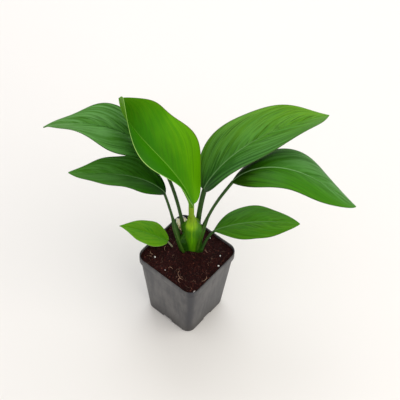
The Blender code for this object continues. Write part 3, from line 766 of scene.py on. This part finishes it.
young = STALKS["young"]
knots = np.array(CROWN_PROFILE)
reach = np.linspace(knots[0, 0], knots[-1, 0], CROWN_ROWS)
weights = np.hanning(CROWN_SMOOTHING) / np.hanning(CROWN_SMOOTHING).sum()
halves = np.pad(np.interp(reach, *knots.T), CROWN_SMOOTHING // 2, mode="edge")
halves = np.convolve(halves, weights, mode="valid")[:, None]
t = np.clip(reach / young["length"], 0.0, 1.0)
middle = grow_path(young["root"], young["length"], lambda t: stalk_frames(young, t), t)
middle[:, 2] += np.minimum(reach, 0.0)
back = math.radians(BACK_HEADING)
wide = np.array([math.sin(back), -math.cos(back)])
deep = np.array([math.cos(back), math.sin(back)])
angle = np.arange(CROWN_SIDES) * 360 / CROWN_SIDES
turn = np.radians(angle)[:, None]
aim = np.cos(turn) * wide + np.sin(turn) * deep
height = np.linspace(0.0, 1.0, CROWN_ROWS)[:, None] * np.ones(CROWN_SIDES)
folds = sum(rise * bell(angle, place + turning * height, breadth)
            for place, turning, rise, breadth in CROWN_FOLDS)
column = halves / np.hypot(np.cos(turn.T), np.sin(turn.T) / CROWN_DEPTH) * (1 + folds)
reaches = [column] + [sheath_reach(name, middle[:, 2], middle[:, :2], aim, joined)
                      for name, joined in JOINED.items()]
pull = np.exp((np.stack(reaches) - np.max(reaches, axis=0)) / SOFT_JOIN)
outline = np.max(reaches, axis=0) + SOFT_JOIN * np.log(pull.sum(axis=0))
rings = middle[:, None] + np.concatenate([outline[..., None] * aim, 0 * outline[..., None]], axis=-1)
older = 1 - pull[0] / pull.sum(axis=0)
lit_half = LIT_FOOT + (LIT_TOP - LIT_FOOT) * height
lit = bell(angle, LIT_SIDE + LIT_TURN * height, np.degrees(lit_half / halves))
# One mark for the older sheaths' own darker green and the painted shade away from the lit side
older_and_shade = np.clip(older + (1 - lit) * (SHADE_FOOT + (SHADE_TOP - SHADE_FOOT) * height), 0.0, 1.0)
add_piece("sheathed_crown", rings, ring_faces(CROWN_ROWS, CROWN_SIDES), crown_finish, "crown",
          {"older_and_shade": older_and_shade, "up": height, "crease_shade": np.clip(-folds, 0.0, 1.0)})


# Leaf blades, thin and glossy: pointed ovals with a midrib that is a groove above and a keel below, and
# fine side veins that leave it at a low angle and sweep on towards the tip.

# Widest is where along the blade it is widest, base_round and taper are the powers of its outline before and
# after. Lean, heading, roll and cup, in degrees, hold at the base, the middle and the tip. Droop is how many
# degrees less the edges rise than the middle. The edges wave this high and so many times, from phase on,
# with far_phase added on the right half. Fresh is how yellow green the blade is, painted_sheen how pale a
# painted sheen lies on it and warm how much light shines through: each for the whole blade, then what is
# added along it, to the left, towards the edges and at the base. Veins are the side veins' spacing and how
# clearly they show. Rib is how pale the midrib is, dark where negative, and where it fades. Tender is 1 for
# a blade that is soft and matt.
BLADES = {
    "high_left": dict(
        length=0.1381, width=0.0569, widest=0.36, base_round=0.79, taper=1.26, lean=(49.6, 6.6, -40.5),
        heading=(192.5, 209.2, 198), roll=(-5, 4, 12), cup=(15, 17, 22), droop=15.5, wave=0.0042,
        waves=2.04, phase=327, far_phase=78,
        fresh=(0.44, 0.04, 0, 0.04, -0.3), painted_sheen=(0.1, 0.2, -0.04, 0.08, -0.15), warm=(0, 0.14, 0, 0, 0),
        veins=(0.0060, 0.9), rib=(-0.8, 0.6), tender=0.0),
    "low_left": dict(
        length=0.1056, width=0.0438, widest=0.41, base_round=0.77, taper=0.96, lean=(53, 5, -12),
        heading=(207, 217, 206), roll=(-8, 3, 0), cup=(15, 24, 16), droop=15, wave=0.0012, waves=2.81,
        phase=19, far_phase=67,
        fresh=(0.2, 0.42, 0.06, 0, -0.25), painted_sheen=(0, 0.18, -0.02, 0, -0.15), warm=(0, 0.1, 0, 0, 0),
        veins=(0.0060, 0.7), rib=(0.6, 0.5), tender=0.0),
    "young": dict(
        length=0.1362, width=0.0815, widest=0.59, base_round=0.56, taper=0.59, lean=(60, 40, 19),
        heading=(168, 193, 138), roll=(35, 5, 38), cup=(40, 33, 64), droop=0, wave=0.0058, waves=1.82,
        phase=238, far_phase=325,
        fresh=(0.97, -0.46, -0.34, 0, -0.1), painted_sheen=(0, 0, 0, 0, 0), warm=(-0.5, 0.70, 0, 0, 0),
        veins=(0.0075, 0.36), rib=(1.1, 0.72), tender=1.0),
    "high_right": dict(
        length=0.1689, width=0.0644, widest=0.41, base_round=0.55, taper=1.00, lean=(58, 13, -27),
        heading=(78, 65, 79), roll=(-7, -5, -5), cup=(23, 25, 11.5), droop=9.5, wave=0.0030, waves=1.76,
        phase=322, far_phase=22,
        fresh=(0.34, 0.34, 0.08, 0, -0.3), painted_sheen=(0.16, -0.08, -0.02, 0, -0.1),
        warm=(-0.06, 0.44, 0.16, 0.05, 0), veins=(0.0062, 1.1), rib=(0.85, 0.45), tender=0.15),
    "low_right": dict(
        length=0.1500, width=0.0582, widest=0.36, base_round=0.68, taper=0.79, lean=(53, -21, -43),
        heading=(54, 33, 41), roll=(-15, -6, -7), cup=(0, 15, -1), droop=34, wave=0.0023, waves=1.61,
        phase=183, far_phase=59,
        # Its base is darkened far down in fresh, a painted shadow of the high right blade above it
        fresh=(0.32, 0.2, -0.18, 0, -1.0), painted_sheen=(-0.08, 0.34, 0.22, 0, -0.3), warm=(0.04, 0, -0.04, 0, 0),
        veins=(0.0065, 0.7), rib=(0.9, 0.58), tender=0.0),
    "small_right": dict(
        length=0.0950, width=0.0426, widest=0.42, base_round=0.80, taper=0.85, lean=(30, 0, -15),
        heading=(46, 45, 43), roll=(1, 3, 4), cup=(15, 9, 7), droop=22, wave=0.0011, waves=2.39,
        phase=345, far_phase=74,
        fresh=(0.44, 0.3, -0.1, 0, -0.25), painted_sheen=(0.02, 0.04, 0, 0, 0), warm=(0.1, 0.08, -0.05, 0, 0),
        veins=(0.0055, 0.9), rib=(0.4, 0.8), tender=0.1),
    "small_left": dict(
        length=0.0559, width=0.0321, widest=0.40, base_round=0.56, taper=1.24, lean=(18, 11, -8),
        heading=(208, 204, 213), roll=(-7, 4, -1), cup=(18, 13, 11), droop=17, wave=0.0006, waves=2.50,
        phase=79, far_phase=79,
        fresh=(0.64, 0.1, 0, 0, 0), painted_sheen=(0, 0, 0, 0, 0), warm=(0.18, 0.04, 0, 0.2, 0),
        veins=(0.0050, 0.4), rib=(0.15, 0.6), tender=0.6),
}
# Where a blade starts: past the end of its stalk, and raised by this share of the stalk's radius. The share
# of that radius that its base has as half a width, and the part of its length over which that runs out
JOINT_GAP, BASE_RAISED, BASE_SHARE, BASE_REACH = 0.00032, 0.6, 0.8, 0.02
# The part of its length over which a blade bends out of its stalk's direction
BEND_REACH, TIP_HALF_WIDTH = 0.07, 0.0004
# The keel's half width and depth as shares of the stalk's radius, how much of both it loses up to the tip,
# and the part of the length over which the midrib's colour fades
MIDRIB_WIDTH, MIDRIB_DEPTH, MIDRIB_TAPER, MIDRIB_FADE = 1.2, 1.3, 0.75, 0.08
MIDDLE_THICKNESS, EDGE_THICKNESS = 0.00060, 0.00032
GROOVE_WIDTH, GROOVE_DEPTH, GROOVE_TAPER = 0.00055, 0.00030, 0.6
# How far the side veins sweep forwards, each part with the power of the way out. The blade is quilted along
# them: depth, the power by which it ends at the edge, and two ripples: turns per vein, height and offset
VEIN_SWEEP = ((0.54, 1.15), (0.18, 4))
VEIN_DEPTH, QUILT_POWER = 0.00006, 6
RIPPLES = ((0.5, 1.0, 0.0), (0.31, 0.7, 1.0))
# The part of the length over which the colours of the base fade
BASE_FADE = 0.14
BLADE_ROWS, BLADE_HALF_COLUMNS = 132, 26
# Columns of points get wider apart towards the edge: the share of their places that is even
EVEN_SHARE = 0.55


def blade_frames(blade, stalk, t):
    """The blade's own directions, eased over its first few percent from the end of its stalk."""
    out_of_stalk, _, _ = stalk_frames(stalk, np.array([1.0]))
    base, _, _ = directions(np.array([blade["lean"][0]]), np.array([blade["heading"][0]]))
    along, left, _ = directions(three_point(blade["lean"], t), three_point(blade["heading"], t))
    ease = np.clip(1 - t / BEND_REACH, 0.0, 1.0) ** 2
    along = along + ease[:, None] * (out_of_stalk - base)
    along /= np.linalg.norm(along, axis=1, keepdims=True)
    above = np.cross(along, left)
    above /= np.linalg.norm(above, axis=1, keepdims=True)
    return along, np.cross(above, along), above


def blade_form(blade, t):
    """A quarter sine up to the widest place, a quarter cosine on to the tip, each raised to a power."""
    widest = blade["widest"]
    base = np.sin(math.pi / 2 * np.clip(t / widest, 0.0, 1.0)) ** blade["base_round"]
    tip = np.cos(math.pi / 2 * np.clip((t - widest) / (1 - widest), 0.0, 1.0)) ** blade["taper"]
    return base * tip


def blade_surface(blade, stalk, t, across):
    """Upper face of a blade: t runs along the midrib and across from the right edge, -1, to the left. Each
    half rises from the midrib at the cup angle, less half of the droop so far, and its edge waves up and
    down with the square of the way out."""
    stalk_end, _, _, _ = stalk_path(stalk, np.array([stalk["length"]]))
    along, _, above = blade_frames(blade, stalk, np.array([0.0]))
    start = stalk_end[0] + along[0] * JOINT_GAP + above[0] * BASE_RAISED * stalk["top"]
    middle = grow_path(start, blade["length"], lambda t: blade_frames(blade, stalk, t), t)
    _, left, above = blade_frames(blade, stalk, t)
    roll = np.radians(three_point(blade["roll"], t))[:, None]
    side = left * np.cos(roll) + above * np.sin(roll)
    up = above * np.cos(roll) - left * np.sin(roll)

    form = blade_form(blade, t)
    half = blade["width"] / 2 * form + TIP_HALF_WIDTH * t
    half = half + BASE_SHARE * stalk["top"] * np.exp(-t / BASE_REACH)
    reach = np.abs(across)
    rise = np.radians(three_point(blade["cup"], t)[:, None] - blade["droop"] / 2 * reach)
    phase = np.radians(blade["phase"] + np.where(across < 0, blade["far_phase"], 0.0))
    turns = 2 * math.pi * blade["waves"] * t[:, None]
    wave = blade["wave"] * form[:, None] * np.sin(turns + phase) * reach**2
    out = half[:, None] * across * np.cos(rise)
    height = half[:, None] * reach * np.sin(rise) + wave
    points = middle[:, None] + side[:, None] * out[..., None] + up[:, None] * height[..., None]
    return points, half


def surface_normals(points):
    """The cross product of the steps along and across the grid, at unit length."""
    normal = np.cross(np.gradient(points, axis=0), np.gradient(points, axis=1))
    return normal / np.linalg.norm(normal, axis=-1, keepdims=True)


def vein_phase(t, across, count):
    """Counts side veins, so many along the midrib: it grows by one from each vein to the next, and lines of
    equal phase leave the midrib forwards and turn along the edge, by two powers of the way out."""
    sweep = sum(share * np.abs(across) ** power for share, power in VEIN_SWEEP)
    return (t[:, None] - sweep) * count


def along_veins(vein, outer, side, crosswise, lengthwise, detail):
    """Noise in streaks that follow the side veins, fine across and long along them, and that differ between
    the two halves."""
    spread = {0: vein * crosswise, 1: outer * lengthwise, 2: side * 3.0}
    return vein.noise(1.0, detail, 0.6, place=vein.node("ShaderNodeCombineXYZ", spread))


blade_finish, wire = new_finish("leaf_skin")
fresh, painted_sheen, warm, tender, lined = map(wire.mark, ("fresh", "painted_sheen", "warm", "tender", "lined"))
vein, outer, side, below = map(wire.mark, ("vein", "outer", "side", "below"))
rib, dark_rib = wire.mark("rib"), wire.mark("dark_rib")
patchy = wire.noise(42.0)
fine = wire.noise(900.0, 2.0)
streaks = along_veins(vein, outer, side, 2.0, 2.2, 3.0)
bands = along_veins(vein, outer, side, 0.45, 1.8, 2.0)
varied = (patchy - 0.5) * 0.22 + (bands - 0.5) * lined * 0.8 + (streaks - 0.5) * lined * 1.2
leaf_tone = (fresh + varied).clamp().tones(
    (0.0, (8, 44, 0)), (0.25, (38, 94, 6)), (0.50, (46, 112, 4)), (0.75, (54, 124, 0)),
    (0.92, (74, 142, 0)), (1.0, (90, 156, 0)))
# The outermost rim is dark on grown blades, and on the tender one a painted highlight makes it pale on the
# left
margin_tone = tender.blend((36, 64, 20), side.ramp(-0.5, 0.5).blend((96, 112, 30), (176, 214, 118)))
leaf_tone = leaf_tone.under(
    ((warm * (0.35 + streaks.ramp(0.38, 0.60) * 1.4)).clamp(), (124, 172, 20)),
    ((painted_sheen * (0.4 + bands.ramp(0.38, 0.62) * 1.2)).clamp(), (122, 172, 108)),
    ((streaks.ramp(0.50, 0.61) * lined * 0.70).clamp(), (12, 58, 6)),
    (rib * 0.7, tender.blend((158, 200, 140), (140, 196, 70))),
    (dark_rib * 0.8, (14, 52, 14)),
    (outer.ramp(0.966, 0.985) * 0.8, margin_tone),
    (below * 0.7, tender.blend((78, 124, 46), (104, 160, 34))))
wire.feed(Base_Color=leaf_tone, Roughness=0.42 + 0.10 * fine + 0.14 * below,
          Normal=wire.bump(streaks * lined + fine * 0.25, 0.22, 0.0003), Specular_IOR_Level=0.06,
          Coat_Weight=(1.0 - tender) * 0.05, Coat_Roughness=0.22)

for name, blade in BLADES.items():
    stalk = STALKS[name]
    # Rows lie closer together towards both ends
    even = np.linspace(0.0, 1.0, BLADE_ROWS + 1)
    t = (even + (1 - np.cos(math.pi * even)) / 2) / 2
    columns = np.linspace(0.0, 1.0, BLADE_HALF_COLUMNS + 1)
    columns = EVEN_SHARE * columns + (1 - EVEN_SHARE) * columns**2
    across = np.concatenate([-columns[:0:-1], columns])
    upper, half = blade_surface(blade, stalk, t, across)
    normal = surface_normals(upper)

    off_rib = np.abs(across) * half[:, None]
    narrowing = (1 - GROOVE_TAPER * t)[:, None]
    groove = np.exp(-((off_rib / (GROOVE_WIDTH * narrowing)) ** 2))
    spacing, clear = blade["veins"]
    phase = vein_phase(t, across, blade["length"] / spacing)
    quilt = sum(rise * np.cos(2 * math.pi * turns * phase + offset) for turns, rise, offset in RIPPLES)
    quilt = VEIN_DEPTH * clear * quilt * blade_form(blade, t)[:, None] * (1 - np.abs(across) ** QUILT_POWER)
    rib_radius = stalk["top"] * (1 - MIDRIB_TAPER * t)[:, None]
    keel = np.sqrt(np.clip(1 - (off_rib / (MIDRIB_WIDTH * rib_radius)) ** 2, 0.0, 1.0))
    keel = MIDRIB_DEPTH * rib_radius * keel
    thick = MIDDLE_THICKNESS + (EDGE_THICKNESS - MIDDLE_THICKNESS) * across**2
    top_face = upper - normal * (GROOVE_DEPTH * narrowing * groove + quilt)[..., None]
    low_face = upper - normal * (thick + keel + quilt)[..., None]

    rings = np.concatenate([top_face, low_face[:, ::-1]], axis=1)
    ones = np.ones_like(off_rib)
    pale, fades_at = blade["rib"]
    shown = groove * fading(t[:, None], fades_at, MIDRIB_FADE)
    near_base = np.exp(-t / BASE_FADE)[:, None]
    terms = np.stack([term * ones for term in (1.0, t[:, None], across, np.abs(across), near_base)], axis=-1)
    marks = {mark: terms @ blade[mark] for mark in ("fresh", "painted_sheen", "warm")}
    marks.update(vein=phase, lined=clear, outer=np.abs(across), side=np.sign(across),
                 rib=max(pale, 0.0) * shown, dark_rib=max(-pale, 0.0) * shown, tender=blade["tender"])
    marks = {mark: values * ones for mark, values in marks.items()}
    marks = {mark: np.concatenate([values, values[:, ::-1]], axis=1) for mark, values in marks.items()}
    marks["below"] = np.concatenate([0 * ones, ones], axis=1)
    faces = ring_faces(len(rings), rings.shape[1])
    add_piece("blade_" + name, rings, [face[::-1] for face in faces], blade_finish, "leaf_" + name,
              marks)


# Papery sheath, the dried remains of an older leaf's sheath: a thin cream tongue curled round the back of
# the high left stalk, ribbed lengthwise and torn along its upper edge.

# Where it starts and ends along the stalk, then its widths and its distances behind the stalk's middle at
# the foot, half way and at the top
PAPER_START, PAPER_END = 0.026, 0.045
PAPER_WIDTHS, PAPER_SETBACK = (0.0060, 0.0125, 0.0120), (0.0031, 0.0042, 0.0052)
# It curls round by this many degrees to each side
PAPER_WRAP, PAPER_THICKNESS = 45, 0.00035
# Ripples across it: their share of the curl's radius, and radians from the middle to an edge
RIPPLE, RIPPLE_TURNS = 0.03, 31
# The torn edge: from what share of the height on, then the height, radians and offset of its large wave, and
# the height and the radians of both small ones, multiplied
TORN_FROM = 0.55
RAG, RAG_TURNS, RAG_OFFSET = 0.0016, 5.0, 0.8
FRAY, FRAY_TURNS, FRAY_SLOW_TURNS = 0.0006, 23, 9
PAPER_ROWS, PAPER_COLUMNS = 30, 60

paper_finish, wire = new_finish("dry_sheath")
ribs = wire.noise(1700.0, 2.0, upright=0.06)
paper_tone = ribs.tones((0.32, (176, 150, 104)), (0.46, (232, 222, 186)), (0.70, (250, 246, 228)))
# Painted shade darkens the sheath towards its foot
paper_tone = paper_tone.under((wire.mark("upward").ramp(0.62, 0.30) * 0.9, (62, 62, 26)))
wire.feed(Base_Color=paper_tone, Roughness=0.8, Normal=wire.bump(ribs, 0.6, 0.0003),
          Subsurface_Weight=0.8, Subsurface_Radius=(1.0, 0.9, 0.7), Subsurface_Scale=0.003)

# It has the crown's back and side directions
stalk = STALKS["high_left"]
along = np.linspace(0.0, 1.0, PAPER_ROWS + 1)
t = (PAPER_START + (PAPER_END - PAPER_START) * along) / stalk["length"]
middle = grow_path(stalk["root"], stalk["length"], lambda t: stalk_frames(stalk, t), t)
back, side = np.append(deep, 0.0), np.append(wide, 0.0)
across = np.linspace(-1.0, 1.0, PAPER_COLUMNS + 1)
angle = np.radians(PAPER_WRAP) * across
radius = three_point(PAPER_WIDTHS, along)[:, None] / 2 / math.sin(math.radians(PAPER_WRAP))
radius = radius * (1 + RIPPLE * np.sin(RIPPLE_TURNS * across))
behind = three_point(PAPER_SETBACK, along)[:, None] - radius * (1 - np.cos(angle))
inner = middle[:, None] + back * behind[..., None] + side * (radius * np.sin(angle))[..., None]
torn = np.clip((along - TORN_FROM) / (1 - TORN_FROM), 0.0, 1.0)[:, None]
fray = FRAY * np.sin(FRAY_TURNS * across) * np.cos(FRAY_SLOW_TURNS * across)
inner[..., 2] += torn * (RAG * np.sin(RAG_TURNS * across + RAG_OFFSET) + fray)
outward = back * np.cos(angle)[:, None] + side * np.sin(angle)[:, None]
rings = np.concatenate([inner, (inner + PAPER_THICKNESS * outward)[:, ::-1]], axis=1)
add_piece("torn_papery_sheath", rings, ring_faces(len(rings), rings.shape[1]), paper_finish,
          "papery_sheath", {"upward": np.repeat(along, rings.shape[1])})
